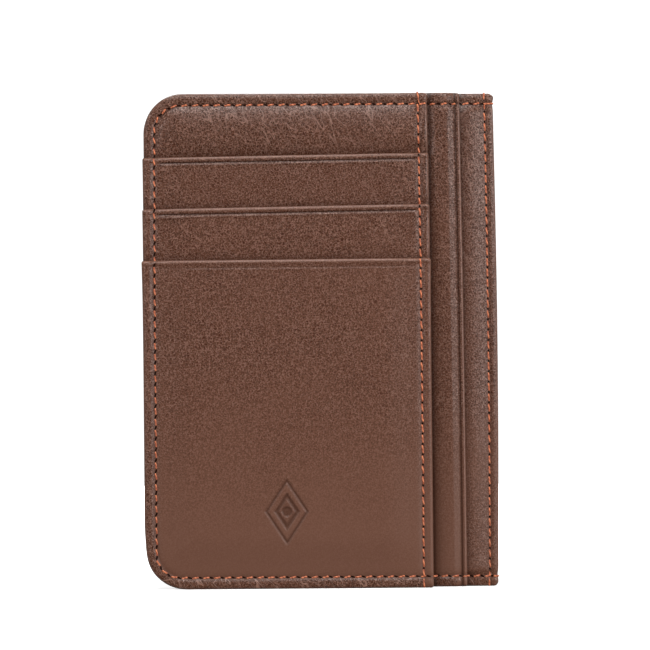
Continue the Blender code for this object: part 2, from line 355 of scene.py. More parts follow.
    grainBump = addNode(nodes, "Bump", Distance=leather["grainDepth"], invert=True)
    links.new(strength, grainBump.inputs["Strength"])
    links.new(grain, grainBump.inputs["Height"])
    wrinkleBump = addNode(nodes, "Bump", Distance=leather["wrinkleDepth"], invert=True)
    links.new(folded, wrinkleBump.inputs["Strength"])
    links.new(wrinkles, wrinkleBump.inputs["Height"])
    links.new(grainBump.outputs["Normal"], wrinkleBump.inputs["Normal"])
    links.new(wrinkleBump.outputs["Normal"], shader.inputs["Normal"])
    return finish


lining = {
    "colour": (0.060, 0.036, 0.027),
    "light": (0.110, 0.068, 0.050),
    "ribScale": 281.25,       # of the wave pattern, a rib every 1.1 mm
    "ribLean": 45,            # degrees
    "ribHeight": 0.00006,
    "slubs": 600.0,
    "roughness": 0.82,
    "sheen": 0.25,
}


def liningFinish():
    finish, nodes, links = newFinish("twill lining")
    shader = nodes["Principled BSDF"]
    place = addNode(nodes, "TexCoord").outputs["Object"]
    turned = addNode(nodes, "Mapping")
    turned.inputs["Rotation"].default_value = (0, math.radians(lining["ribLean"]), 0)
    links.new(place, turned.inputs["Vector"])
    ribs = addNode(nodes, "TexWave", wave_type="BANDS", bands_direction="X", Scale=lining["ribScale"])
    ribs.inputs["Distortion"].default_value = 0.6
    links.new(turned.outputs["Vector"], ribs.inputs["Vector"])
    slub = addNode(nodes, "TexNoise", Scale=lining["slubs"], Detail=3.0)
    links.new(place, slub.inputs["Vector"])
    weave = maths(nodes, links, "MULTIPLY", ribs.outputs["Fac"], slub.outputs["Fac"])
    links.new(
        blendColours(nodes, links, weave, lining["colour"], lining["light"]), shader.inputs["Base Color"])
    shader.inputs["Roughness"].default_value = lining["roughness"]
    shader.inputs["Sheen Weight"].default_value = lining["sheen"]
    bump = addNode(nodes, "Bump", Distance=lining["ribHeight"])
    links.new(ribs.outputs["Fac"], bump.inputs["Height"])
    links.new(bump.outputs["Normal"], shader.inputs["Normal"])
    return finish


thread = {
    "colour": (0.800, 0.250, 0.105),
    "shade": (0.420, 0.090, 0.034),
    "twistScale": 412.7,      # of the wave pattern, a ply every 0.76 mm
    "twistLean": 38,          # degrees
    "twistHeight": 0.00005,
    "fuzz": 2500.0,
    "roughness": 0.55,
    "sheen": 0.15,
}


def threadFinish():
    finish, nodes, links = newFinish("waxed thread")
    shader = nodes["Principled BSDF"]
    place = addNode(nodes, "TexCoord").outputs["Object"]
    turned = addNode(nodes, "Mapping")
    turned.inputs["Rotation"].default_value = (0, math.radians(thread["twistLean"]), 0)
    links.new(place, turned.inputs["Vector"])
    twist = addNode(nodes, "TexWave", wave_type="BANDS", bands_direction="X", Scale=thread["twistScale"])
    links.new(turned.outputs["Vector"], twist.inputs["Vector"])
    fuzz = addNode(nodes, "TexNoise", Scale=thread["fuzz"], Detail=2.0)
    links.new(place, fuzz.inputs["Vector"])
    ply = maths(nodes, links, "MULTIPLY", twist.outputs["Fac"], fuzz.outputs["Fac"])
    depth = mapRange(nodes, links, ply, 0.05, 0.45, 0.0, 1.0)
    links.new(
        blendColours(nodes, links, depth, thread["shade"], thread["colour"]), shader.inputs["Base Color"])
    shader.inputs["Roughness"].default_value = thread["roughness"]
    shader.inputs["Sheen Weight"].default_value = thread["sheen"]
    bump = addNode(nodes, "Bump", Distance=thread["twistHeight"])
    links.new(twist.outputs["Fac"], bump.inputs["Height"])
    links.new(bump.outputs["Normal"], shader.inputs["Normal"])
    return finish


# dark plugs in the needle holes: painted shade where the holes are
holeShade = {"deep": (0.010, 0.004, 0.003), "fibre": (0.030, 0.012, 0.008), "fibres": 3000.0}


def holeFinish():
    finish, nodes, links = newFinish("needle hole")
    shader = nodes["Principled BSDF"]
    place = addNode(nodes, "TexCoord").outputs["Object"]
    fibre = addNode(nodes, "TexNoise", Scale=holeShade["fibres"], Detail=2.0)
    links.new(place, fibre.inputs["Vector"])
    links.new(
        blendColours(nodes, links, fibre.outputs["Fac"], holeShade["deep"], holeShade["fibre"]),
        shader.inputs["Base Color"])
    shader.inputs["Roughness"].default_value = 1.0
    shader.inputs["Specular IOR Level"].default_value = 0.0
    return finish


finishes = {
    "leather": leatherFinish("brown leather"),
    "lining": liningFinish(),
    "thread": threadFinish(),
    "hole": holeFinish(),
}
print("finishes are mixed")


# leather: outline, thickness and pressed lines, all in millimetres

seamInset = 2.50              # perimeter seam to the edge
cardSeam = (23.03, 22.53, 0.14)   # X of the seam at the bottom and at the top, and its bow
hemSeam = (38.12, 37.62, 0.30)
creaseEnds = (-36.6, 22.4)    # the crease under a pocket's mouth runs between these, fading out
creaseFade = 1.2


def low(node, axis):
    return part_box(node)[0][axis] / mm


def high(node, axis):
    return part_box(node)[1][axis] / mm


# left and right: X of the edges, the right one at the bottom and at the top, with its bow
# top: Z in the middle, and its rise per millimetre of X
# closed: the turned sides; fold: how wide they are turned; coarse: spacing of the grid of faces
backPanel = {
    "name": "back_leather", "nodes": ["back_panel", "back_panel_hem"],
    "front": low("back_panel_hem", 1), "back": high("back_panel", 1), "foldedBack": high("back_panel", 1),
    "left": -39.70, "right": (40.05, 39.56), "bow": 0.50, "top": (111.95, -0.004),
    "closed": "left top bottom", "fold": 6.0, "coarse": 0.75, "endCorner": 1.1,
    # Z, half width and push of the places where the seam's two wraps shape the right edge
    "draws": ((109.3, 0.7, -0.12), (111.0, 0.7, 0.16), (2.7, 0.8, -0.16)),
}
slipPanel = {
    "name": "slip_leather",
    "nodes": ["slip_panel", "slip_panel_hem", "slip_panel_top_flap", "slip_panel_left_flap",
              "slip_panel_bottom_flap"],
    "front": low("slip_panel", 1), "back": high("slip_panel_hem", 1),
    "foldedBack": high("slip_panel_left_flap", 1),
    "left": -39.68, "right": (32.95, 31.95), "bow": 0.15, "top": (112.1, -0.004),
    "closed": "left top bottom", "fold": 6.0, "coarse": 0.75,
}
basePanel = {
    "name": "base_leather",
    "nodes": ["base_panel", "base_panel_top_flap", "base_panel_left_flap", "base_panel_bottom_flap"],
    "front": low("base_panel", 1), "back": high("base_panel", 1),
    "foldedBack": high("base_panel_left_flap", 1),
    "left": -39.70, "right": (25.12, 24.62), "bow": 0.0, "top": (112.0, 0.0),
    "closed": "left top bottom", "fold": 6.0, "coarse": 0.6,
}


def pocketPanel(pocket, left, right, top, swell, crown):
    node = pocket + "_pocket"
    return {
        "name": pocket + "_pocket_leather",
        "nodes": [node, node + "_left_flap", node + "_right_flap", node + "_bottom_flap"],
        "front": low(node, 1), "back": high(node, 1), "foldedBack": high(node + "_left_flap", 1),
        "left": left, "right": right, "bow": 0.0, "top": top, "topCorner": 0.5,
        "swell": swell, "crown": crown, "closed": "left right bottom", "fold": 5.2,
        "coarse": 0.6, "pocket": pocket,
    }


upperPocket = pocketPanel("upper", -39.84, (25.15, 24.72), (98.08, 0.011), 0.12, 0.30)
middlePocket = pocketPanel("middle", -39.90, (25.20, 24.80), (86.45, 0.012), 0.14, 0.30)
frontPocket = pocketPanel("front", -39.98, (25.25, 24.90), (74.42, 0.003), 0.28, 0.62)
frontPocket["mark"] = (-7.8, 17.4)       # centre of the pressed mark

leafPanels = [basePanel, upperPocket, middlePocket, frontPocket]

creases = {                   # the line pressed under each pocket's mouth
    "upper": {"below": 1.35, "depth": 0.20, "width": 0.22},
    "middle": {"below": 1.40, "depth": 0.20, "width": 0.22},
    "front": {"below": 1.75, "depth": 0.06, "width": 0.25},
}
cornerRadius = {"top": 9.05, "bottom": 9.6, "end": 0.6}
swellFade = 9.0               # how far below its mouth a pocket is still wider
leftDent = {"depth": 0.30, "z": 8.5, "half": 3.5}
foldStep = 0.8                # from the turned edge's full thickness down to one ply
edgeRoll = {"share": 0.45, "most": 0.5}   # radius of a rolled edge, as a share of the thickness


def smoothStep(start, end, value):
    t = np.clip((value - start) / (end - start), 0, 1)
    return t * t * (3 - 2 * t)


def bell(distance, width):
    return np.exp(-(distance / width) ** 2)


def leaning(line, z):
    share = z / wallet["height"]
    bow = line[2] if len(line) > 2 else 0
    return line[0] + (line[1] - line[0]) * share + bow * np.sin(math.pi * np.clip(share, 0, 1))


def leftEdge(panel, z):
    swell = panel.get("swell", 0) * np.exp(-(panel["top"][0] - z) / swellFade)
    return panel["left"] - swell + leftDent["depth"] * bell(z - leftDent["z"], leftDent["half"])


def rightEdge(panel, z):
    bow = panel["bow"] * np.sin(math.pi * np.clip(z / wallet["height"], 0, 1))
    swell = panel.get("swell", 0) * 0.6 * np.exp(-(panel["top"][0] - z) / swellFade)
    edge = leaning(panel["right"], z) + bow + swell
    for place, half, push in panel.get("draws", ()):
        edge = edge + push * bell(z - place, half)
    return edge


def topEdge(panel, x):
    return panel["top"][0] + panel["top"][1] * x


def cornerOf(panel, side):
    return panel.get(side + "Corner", cornerRadius[side])


def roundedGap(side, end, radius):
    # distance to the outline where two edges meet in a round corner
    nearCorner = (side < radius) & (end < radius)
    curved = radius - np.hypot(radius - side, radius - end)
    return np.where(nearCorner, curved, np.minimum(side, end))


def edgeGaps(panel, x, z):
    # distances to the outline, to its sewn sides, to its turned sides, to the top and to the right
    fromLeft = x - leftEdge(panel, z)
    fromRight = rightEdge(panel, z) - x
    fromTop = topEdge(panel, x) - z
    topLeft = roundedGap(fromLeft, fromTop, cornerOf(panel, "top"))
    bottomLeft = roundedGap(fromLeft, z, cornerRadius["bottom"])
    right = roundedGap(fromRight, np.minimum(z, fromTop), cornerOf(panel, "end"))
    gap = np.minimum(np.minimum(topLeft, bottomLeft), right)
    sewn = np.minimum(topLeft, bottomLeft) if "top" in panel["closed"] else bottomLeft
    folded = np.minimum(sewn, fromRight) if "right" in panel["closed"] else sewn
    return gap, sewn, folded, fromTop, fromRight


def ripple(x, z, seed, size, waves=9):
    # a few slow waves, the unevenness of real hide
    draw = random.Random(seed)
    total = np.zeros_like(x)
    for _ in range(waves):
        angle = draw.uniform(0, math.pi)
        length = size * draw.uniform(0.6, 1.8)
        phase = draw.uniform(0, 2 * math.pi)
        total += np.sin((x * math.cos(angle) + z * math.sin(angle)) * 2 * math.pi / length + phase)
    return total / waves


def rollOver(gap, radius):
    # how far the surface has rolled back where it turns round an edge
    inside = np.clip(radius - gap, 0, radius)
    return radius - np.sqrt(np.maximum(radius ** 2 - inside ** 2, 0))


def thickness(panel, x, z):
    folded = edgeGaps(panel, x, z)[2]
    thin = panel["back"] - panel["front"]
    thick = panel["foldedBack"] - panel["front"]
    return thin + (thick - thin) * smoothStep(panel["fold"] + foldStep, panel["fold"], folded)


lozenge = {"halfWidth": 5.0, "halfHeight": 7.6, "depth": 0.30, "dark": 0.60}


def pressedMark(panel, x, z):
    # a lozenge with a smaller one inside it and a dot in the middle
    centreX, centreZ = panel["mark"]
    across = np.abs(x - centreX) / lozenge["halfWidth"]
    up = np.abs(z - centreZ) / lozenge["halfHeight"]
    reach = across + up
    outer = bell(reach - 0.92, 0.065)
    inner = smoothStep(0.60, 0.52, reach) - 0.75 * smoothStep(0.42, 0.34, reach)
    dot = smoothStep(0.17, 0.11, np.hypot(across * 0.66, up))
    return np.clip(outer + inner + dot, 0, 1)


def cushion(distance, middle, half):
    return np.clip(1 - ((distance - middle) / half) ** 2, 0, 1)


def nextMouth(panel, x):
    # the pocket mouth that crosses this panel, if any
    place = leafPanels.index(panel) + 1
    return topEdge(leafPanels[place], x) if place < len(leafPanels) else None


pad = {                       # how far the leather swells out between its seams
    "everywhere": 0.10,
    "crownReach": (12.0, 9.0),           # from the edge and from the card seam to a pocket's full crown
    "corner": {"rise": 0.26, "at": (-36.0, 108.0), "half": 5.0},
    "field": {"rise": 0.66, "from": 97.5, "to": 109.6, "reach": 9.0},   # the top field of the base
}


def pillow(panel, x, z, sewn):
    swell = pad["everywhere"] * smoothStep(seamInset + 0.1, seamInset + 1.7, sewn)
    fromCardSeam = leaning(cardSeam, z) - x
    if panel in leafPanels:
        swell = swell * smoothStep(0.1, 1.6, fromCardSeam)
    if "crown" in panel:
        edgeReach, seamReach = pad["crownReach"]
        crown = panel["crown"] * smoothStep(seamInset, edgeReach, sewn)
        swell += crown * smoothStep(0.0, seamReach, fromCardSeam)
    if panel is basePanel:
        topCorner, field = pad["corner"], pad["field"]
        fromCorner = np.hypot(x - topCorner["at"][0], z - topCorner["at"][1])
        raised = topCorner["rise"] * smoothStep(seamInset, seamInset + 1.4, sewn)
        swell += raised * bell(fromCorner, topCorner["half"])
        share = np.clip((z - field["from"]) / (field["to"] - field["from"]), 0, 1)
        raised = field["rise"] * np.sin(math.pi * share)
        swell += raised * smoothStep(seamInset, field["reach"], x - panel["left"])
    return swell


seamRelief = {"dip": 0.12, "dipHalf": 0.42, "dark": 0.4, "edgeDark": 0.5, "darkHalf": 0.35}
marginRelief = {              # the swollen strips outside a seam, with the middle and half of each
    "edge": 0.26, "edgeMiddle": 1.30, "leaf": 0.20, "leafMiddle": 0.95, "hem": 0.32, "hemWidth": 1.7,
}
mouthRelief = {"dip": 0.34, "dipFade": 1.4, "dark": 0.55, "shadeFade": 0.9}    # behind a mouth in front: a dip, and a painted shade fading upward from the mouth
lipRelief = {"rise": 0.12, "middle": 0.65, "half": 0.60}                      # above a crease
pinch = {"rise": 0.20, "below": 2.15, "belowHalf": 0.32, "x": -33.0, "half": 3.4}
slipRelief = {                # the strip's rise from the leaf to the ridge at its edge, and the rim
    "rise": 0.36, "riseWidth": 2.4, "ridge": 0.42, "ridgeFrom": 3.0, "ridgeTo": 1.3,
    "rim": 0.24, "rimFrom": 1.15, "rimTo": 0.75, "lip": 0.06,
}
stripRelief = {"bulge": 0.80, "bulgeWidth": 5.4}      # the back panel beside the hem seam
hide = {"ripple": 0.045, "rippleSize": 16.0, "small": 0.018, "smallSize": 5.0}


def frontSurface(panel, x, z):
    # Y of the panel's front, and how pressed each place is, with painted shade and shadows added to it
    gap, sewn, _, fromTop, fromRight = edgeGaps(panel, x, z)
    dip, dipHalf, darkHalf = seamRelief["dip"], seamRelief["dipHalf"], seamRelief["darkHalf"]
    y = panel["front"] - pillow(panel, x, z, sewn)
    y += dip * bell(sewn - seamInset, dipHalf)
    y -= marginRelief["edge"] * cushion(sewn, marginRelief["edgeMiddle"], marginRelief["edgeMiddle"])
    pressedAndShade = seamRelief["edgeDark"] * bell(sewn - seamInset, darkHalf)

    if panel in leafPanels:
        fromCardSeam = x - leaning(cardSeam, z)
        y += dip * bell(fromCardSeam, dipHalf)
        y -= marginRelief["leaf"] * cushion(fromRight, marginRelief["leafMiddle"], marginRelief["leafMiddle"])
        pressedAndShade += seamRelief["dark"] * bell(fromCardSeam, darkHalf)
        mouth = nextMouth(panel, x)
        if mouth is not None:
            above = np.clip(z - mouth, 0, None)
            y += mouthRelief["dip"] * np.exp(-above / mouthRelief["dipFade"])
            # painted shade just above the mouth of the pocket in front
            pressedAndShade += mouthRelief["dark"] * np.exp(-above / mouthRelief["shadeFade"])
    if "pocket" in panel:
        crease = creases[panel["pocket"]]
        start, end = creaseEnds
        along = smoothStep(start, start + creaseFade, x) * smoothStep(end, end - creaseFade, x)
        line = bell(fromTop - crease["below"], crease["width"])
        dark = bell(fromTop - crease["below"] + 0.06, 0.17)
        y += crease["depth"] * line * along
        y -= 0.5 * crease["depth"] * bell(fromTop - crease["below"] - 0.50, 0.35) * along
        y -= lipRelief["rise"] * cushion(fromTop, lipRelief["middle"], lipRelief["half"])
        # the crease painted darker: the pressed line's own tone and painted shade in its groove
        pressedAndShade += dark * along * crease["depth"] / creases["upper"]["depth"]
        if panel is middlePocket:
            fold = pinch["rise"] * bell(fromTop - pinch["below"], pinch["belowHalf"])
            y -= fold * bell(x - pinch["x"], pinch["half"])
    if panel is slipPanel:
        fromLeaf = x - leaning(basePanel["right"], z)
        y -= slipRelief["rise"] * smoothStep(0.0, slipRelief["riseWidth"], fromLeaf)
        y += slipRelief["ridge"] * smoothStep(slipRelief["ridgeFrom"], slipRelief["ridgeTo"], fromRight)
        y -= slipRelief["rim"] * smoothStep(slipRelief["rimFrom"], slipRelief["rimTo"], fromRight)
        # painted shadow of the leaf's edge on the slip strip
        pressedAndShade += bell(fromLeaf - 0.42, 0.36) + 0.35 * bell(fromLeaf - 0.9, 0.6)
        y -= slipRelief["lip"] * bell(fromRight - 0.45, 0.35)
        # painted shade in the groove by the slip's edge
        pressedAndShade += 0.9 * bell(fromRight - 1.05, 0.28)
    if panel is backPanel:
        fromHem = leaning(hemSeam, z) - x
        fromSlip = x - leaning(slipPanel["right"], z)
        bulge = np.sin(math.pi / 2 * np.clip(fromHem / stripRelief["bulgeWidth"], 0, 1))
        y -= stripRelief["bulge"] * bulge * smoothStep(1.5, 4.0, sewn) * smoothStep(-6.5, -1.0, fromSlip)
        y += dip * bell(fromHem, dipHalf)
        margin = np.sin(math.pi / 2 * np.clip(fromRight / marginRelief["hemWidth"], 0, 1))
        y -= marginRelief["hem"] * margin * smoothStep(-0.2, -1.0, fromHem)
        pressedAndShade += seamRelief["dark"] * bell(fromHem, darkHalf)
        # painted shadow of the slip's edge on the back panel
        pressedAndShade += 0.6 * bell(fromSlip - 0.3, 0.4) + 0.3 * bell(fromSlip - 1.0, 0.7)
    if "mark" in panel:
        mark = pressedMark(panel, x, z)
        y += lozenge["depth"] * mark
        pressedAndShade += lozenge["dark"] * mark
    waves = hide["ripple"] * ripple(x, z, panel["name"], hide["rippleSize"])
    waves += hide["small"] * ripple(x, z, panel["name"] + " small", hide["smallSize"])
    y += waves * smoothStep(0.3, 2.0, gap)
    radius = np.minimum(edgeRoll["share"] * thickness(panel, x, z), edgeRoll["most"])
    return y + rollOver(gap, radius), np.clip(pressedAndShade, 0, 1)


grainByHeight = {             # Z: how strong the grain is
    5: 0.10, 14: 0.14, 35: 0.50, 55: 0.80, 85: 0.85, 98: 1.05, 108: 1.15,
}


def grainOf(panel, x, z):
    # how strong the grain is and how wrinkled the leather
    _, sewn, _, _, fromRight = edgeGaps(panel, x, z)
    grain = np.interp(z, list(grainByHeight.keys()), list(grainByHeight.values()))
    if panel is backPanel:
        grain = np.maximum(grain * 1.1, 0.45)
    elif panel is frontPocket:
        grain = grain * 0.85
    outside = np.minimum(sewn, fromRight + 0.4) if panel is backPanel else sewn
    margin = smoothStep(seamInset, seamInset - 0.6, outside)
    besideHem = fromRight > 2.4
    grain = np.maximum(grain, 0.8 * margin * besideHem)
    wrinkle = 0.9 * margin * smoothStep(4.0, 2.6, z) + 0.2 * margin * besideHem
    if panel is basePanel:
        wrinkle += 0.9 * smoothStep(98.5, 103.0, z) * smoothStep(-33, -20, x) * smoothStep(24, 10, x)
    elif panel is backPanel:
        wrinkle += 0.30 * smoothStep(40, 90, z)
    else:
        wrinkle += 0.15 * smoothStep(60, 90, z)
    return grain, np.clip(wrinkle, 0, 1)


def backSurface(panel, x, z):
    gap, sewn, _, _, _ = edgeGaps(panel, x, z)
    thick = thickness(panel, x, z)
    y = panel["front"] + thick
    pressedAndShade = np.zeros_like(x)
    if panel is backPanel:
        fromHem = x - leaning(hemSeam, z)
        seams = np.maximum(bell(sewn - seamInset, 0.5), bell(fromHem, 0.5))
        y -= 0.14 * seams
        y += 0.05 * ripple(x, z, "back", 18.0) * smoothStep(0.3, 3.0, gap)
        pressedAndShade = 0.5 * seams
    radius = np.minimum(edgeRoll["share"] * thick, edgeRoll["most"])
    return y - rollOver(gap, radius), pressedAndShade


def ruler(length, coarse, zones):
    # marks from 0 to length, close together near each zone's (centre, half width, spacing)
    marks = [0.0]
    while marks[-1] < length:
        here = marks[-1]
        step = coarse
        for centre, half, spacing in zones:
            step = min(step, spacing + 0.22 * max(0.0, abs(here - centre) - half))
        marks.append(here + step)
    scale = length / marks[-1]
    return np.array([mark * scale for mark in marks])


def readPoints(mesh):
    points = np.empty(len(mesh.vertices) * 3, np.float32)
    mesh.vertices.foreach_get("co", points)
    return points.reshape(-1, 3).astype(float)


def writePoints(mesh, points):
    mesh.vertices.foreach_set("co", points.astype(np.float32).ravel())
    mesh.update()


def addShade(mesh, name, values):
    layer = mesh.attributes.new(name, "FLOAT", "POINT")
    layer.data.foreach_set("value", values.astype(np.float32))


def gridBlank(name, columns, rows):
    # an upright sheet of faces, one metre square for now, facing -Y
    deselectAll()
    bpy.ops.mesh.primitive_grid_add(
        x_subdivisions=columns, y_subdivisions=rows, size=1, rotation=(math.radians(90), 0, 0))
    sheet = bpy.context.object
    sheet.name = name
    sheet.data.name = name
    bpy.ops.object.transform_apply(location=True, rotation=True, scale=True)
    return sheet


def doubleUp(sheet, depth):
    # a second face behind the first, and the wall between them
    makeActive(sheet)
    bpy.ops.object.mode_set(mode="EDIT")
    bpy.ops.mesh.select_all(action="SELECT")
    bpy.ops.mesh.extrude_region_move(TRANSFORM_OT_translate={"value": (0, depth, 0)})
    bpy.ops.object.mode_set(mode="OBJECT")


def faceOutwards(piece):
    makeActive(piece)
    bpy.ops.object.mode_set(mode="EDIT")
    bpy.ops.mesh.select_all(action="SELECT")
    bpy.ops.mesh.normals_make_consistent(inside=False)
    bpy.ops.mesh.select_all(action="DESELECT")
    bpy.ops.object.mode_set(mode="OBJECT")


def roundCorner(side, end, radius):
    # slides the square rings of a grid corner onto arcs; side and end are the gaps to its edges
    inside = (side < radius) & (end < radius)
    u = np.where(inside, (radius - side) / radius, 0.0)
    v = np.where(inside, (radius - end) / radius, 0.0)
    length = np.maximum(np.hypot(u, v), 1e-9)
    pull = np.maximum(u, v) / length
    newSide = np.where(inside, radius - radius * u * pull, side)
    newEnd = np.where(inside, radius - radius * v * pull, end)
    return newSide, newEnd


bands = {                     # half width of each finer band of the grid, and its spacing
    "edge": (0.6, 0.11), "seamAcross": (0.6, 0.35), "seamUp": (0.6, 0.3), "leafSeam": (0.5, 0.3),
    "crease": (1.0, 0.12), "ridge": (1.5, 0.14), "groove": (1.0, 0.22), "strip": (4.0, 0.32),
    "markAcross": (5.2, 0.19), "markUp": (7.8, 0.19),
}


def panelMarks(panel):
    width = panel["right"][0] - panel["left"]
    height = panel["top"][0]
    xZones = [(0, *bands["edge"]), (width, *bands["edge"]), (seamInset, *bands["seamAcross"])]
    zZones = [(0, *bands["edge"]), (height, *bands["edge"])]
    zZones += [(seamInset, *bands["seamUp"]), (height - seamInset, *bands["seamUp"])]
    if "pocket" in panel:
        zZones += [(height - 1.3, *bands["crease"])]
    if panel in leafPanels:
        xZones += [(width - 2.1, *bands["leafSeam"])]
    if panel is slipPanel:
        groove = leaning(basePanel["right"], wallet["height"] / 2) - panel["left"]
        xZones += [(width - 1.4, *bands["ridge"]), (groove, *bands["groove"])]
    if panel is backPanel:
        xZones += [(width - 2.1, *bands["strip"])]
    if "mark" in panel:
        xZones += [(panel["mark"][0] - panel["left"], *bands["markAcross"])]
        zZones += [(panel["mark"][1], *bands["markUp"])]
    return ruler(width, panel["coarse"], xZones), ruler(height, panel["coarse"], zZones)


def leatherPiece(panel):
    acrossMarks, upMarks = panelMarks(panel)
    columns, rows = len(acrossMarks) - 1, len(upMarks) - 1
    sheet = gridBlank(panel["name"], columns, rows)
    doubleUp(sheet, 1.0)
    points = readPoints(sheet.data)
    isFront = points[:, 1] < 0.5

    column = np.rint((points[:, 0] + 0.5) * columns).astype(int)
    row = np.rint((points[:, 2] + 0.5) * rows).astype(int)
    width, height = acrossMarks[-1], upMarks[-1]
    side, up = acrossMarks[column], upMarks[row]
    side, up = roundCorner(side, up, cornerRadius["bottom"])
    side, down = roundCorner(side, height - up, cornerOf(panel, "top"))
    away, down = roundCorner(width - side, down, cornerOf(panel, "end"))
    away, up = roundCorner(away, height - down, cornerOf(panel, "end"))

    x = panel["left"] + width - away
    z = up / height * topEdge(panel, x)
    left = leftEdge(panel, z)
    x = left + (width - away) / width * (rightEdge(panel, z) - left)

    frontY, frontPressedAndShade = frontSurface(panel, x, z)
    backY, backPressedAndShade = backSurface(panel, x, z)
    grain, wrinkle = grainOf(panel, x, z)
    gap, _, _, fromTop, _ = edgeGaps(panel, x, z)
    # rim: rolled edges and pocket lips painted lighter, rubbed wear and a painted highlight
    rim = smoothStep(0.55, 0.05, gap)
    if "pocket" in panel:
        rim = np.maximum(rim, 0.8 * smoothStep(0.75, 0.35, fromTop))
    writePoints(sheet.data, np.stack([x, np.where(isFront, frontY, backY), z], axis=1) * mm)
    addShade(sheet.data, "rim", rim)
    addShade(sheet.data, "pressedAndShade", np.where(isFront, frontPressedAndShade, backPressedAndShade))
    addShade(sheet.data, "grain", np.where(isFront, grain, 0.8))
    addShade(sheet.data, "wrinkle", np.where(isFront, wrinkle, 0.2))
    faceOutwards(sheet)
    bpy.ops.object.shade_smooth()
    sheet.data.materials.append(finishes["leather"])
    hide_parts(*panel["nodes"])
    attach(sheet, "root")
    print(panel["name"], "is cut and pressed:", len(sheet.data.polygons), "faces")


for panel in (backPanel, slipPanel, *leafPanels):
    leatherPiece(panel)


# linings: thin twill behind each ply

liningPieces = {
    # name: its node and the other nodes it stands for
    "back_lining": ("back_panel_lining", []),
    "slip_lining": ("slip_panel_lining", []),
    "base_lining": ("base_panel_lining", []),
    "upper_lining": ("upper_pocket_lining", ["upper_pocket_stop"]),
    "middle_lining": ("middle_pocket_lining", ["middle_pocket_stop"]),
    "front_lining": ("front_pocket_lining", []),
}
liningCut = {
    "spacing": 1.1, "bottomCorner": 9.4, "topCorner": 8.8, "pocketCorner": 0.6, "inset": 0.25,
    "pocketHem": 7.0,         # left bare below a pocket's mouth
    "skin": 0.02,             # how much thinner than its node on each side
}


def liningPiece(name, node, others):
    isPocket = "pocket" in node
    left, right = low(node, 0) + liningCut["inset"], high(node, 0) - liningCut["inset"]
    bottom, top = low(node, 2) + liningCut["inset"], high(node, 2) - liningCut["inset"]
    front, back = low(node, 1) + liningCut["skin"], high(node, 1) - liningCut["skin"]
    if isPocket:
        top -= liningCut["pocketHem"]
    columns = round((right - left) / liningCut["spacing"])
    rows = round((top - bottom) / liningCut["spacing"])
    sheet = gridBlank(name, columns, rows)
    doubleUp(sheet, 1.0)
    points = readPoints(sheet.data)
    isFront = points[:, 1] < 0.5
    side = (points[:, 0] + 0.5) * (right - left)
    up = (points[:, 2] + 0.5) * (top - bottom)
    side, up = roundCorner(side, up, liningCut["bottomCorner"])
    down = top - bottom - up
    side, down = roundCorner(side, down, liningCut["pocketCorner" if isPocket else "topCorner"])
    x = left + side
    z = top - down
    wave = 0.03 * ripple(x, z, name, 9.0)
    y = np.where(isFront, front, back) + wave
    writePoints(sheet.data, np.stack([x, y, z], axis=1) * mm)
    faceOutwards(sheet)
    bpy.ops.object.shade_smooth_by_angle(angle=math.radians(40))
    sheet.data.materials.append(finishes["lining"])
    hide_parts(node, *others)
    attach(sheet, "root")


for name, (node, others) in liningPieces.items():
    liningPiece(name, node, others)
print("linings are in")


# seams

stitch = {
    "radius": 0.22,
    "sides": 8,
    "sunk": 0.04,             # how far a stitch's middle lies into the leather
    "dip": 0.20,              # how far its ends go down
    "unevenness": 3,          # degrees
}
needleHole = {"sides": 10, "proud": 0.10, "dish": 0.03, "rim": 0.09, "plug": 0.20, "unevenness": 6}

seams = {
    # spacing, length and lean of the stitches, size and lean of the holes, in mm and degrees
    "perimeter": {"pitch": 2.452, "stitch": 1.62, "lean": 13, "hole": (1.05, 0.42), "holeLean": -24},
    "card": {"pitch": 2.337, "stitch": 2.05, "lean": 8, "hole": (0.50, 0.42), "holeLean": 35},
    "hem": {"pitch": 2.360, "stitch": 2.0, "lean": 7, "hole": (0.50, 0.42), "holeLean": 35},
}


def surfaceAt(x, z):
    # Y of the foremost leather at one place
    here = np.array([float(x)]), np.array([float(z)])
    if x > leaning(slipPanel["right"], z) + 0.1:
        panel = backPanel
    elif x > leaning(basePanel["right"], z) + 0.35:
        panel = slipPanel
    else:
        panel = basePanel
        for pocket in leafPanels[1:]:
            if z < topEdge(pocket, x):
                panel = pocket
    return float(frontSurface(panel, *here)[0][0])


def backAt(x, z):
    return float(backSurface(backPanel, np.array([float(x)]), np.array([float(z)]))[0][0])


def quarterTurn(x, z, radius, start, steps=12):
    # points round a corner, from just after the start angle
    angles = [math.radians(start + 90 * step / steps) for step in range(1, steps + 1)]
    return [(x + radius * math.cos(angle), z + radius * math.sin(angle)) for angle in angles]


def perimeterRun(topRadius=6.0, bottomRadius=5.4):
    # the seam's plan, from the top right round the left side to the bottom right
    left = -39.80 + seamInset
    top, bottom = wallet["height"] - seamInset, seamInset + 0.08
    run = [(39.2, top), (left + topRadius, top)]
    run += quarterTurn(left + topRadius, top - topRadius, topRadius, 90)
    run.append((left, bottom + bottomRadius))
    run += quarterTurn(left + bottomRadius, bottom + bottomRadius, bottomRadius, 180)
    run += [(25.0, bottom), (27.0, bottom - 0.20), (39.6, bottom - 0.32)]
    return run


def uprightRun(line, top, bottom):
    return [(float(leaning(line, z)), float(z)) for z in np.linspace(top, bottom, 20)]


def walk(run, distance):
    # the place and direction at a distance along a run
    for (x0, z0), (x1, z1) in zip(run, run[1:]):
        length = math.hypot(x1 - x0, z1 - z0)
        if distance <= length:
            share = distance / length
            return x0 + (x1 - x0) * share, z0 + (z1 - z0) * share, math.atan2(z1 - z0, x1 - x0)
        distance -= length
    return None


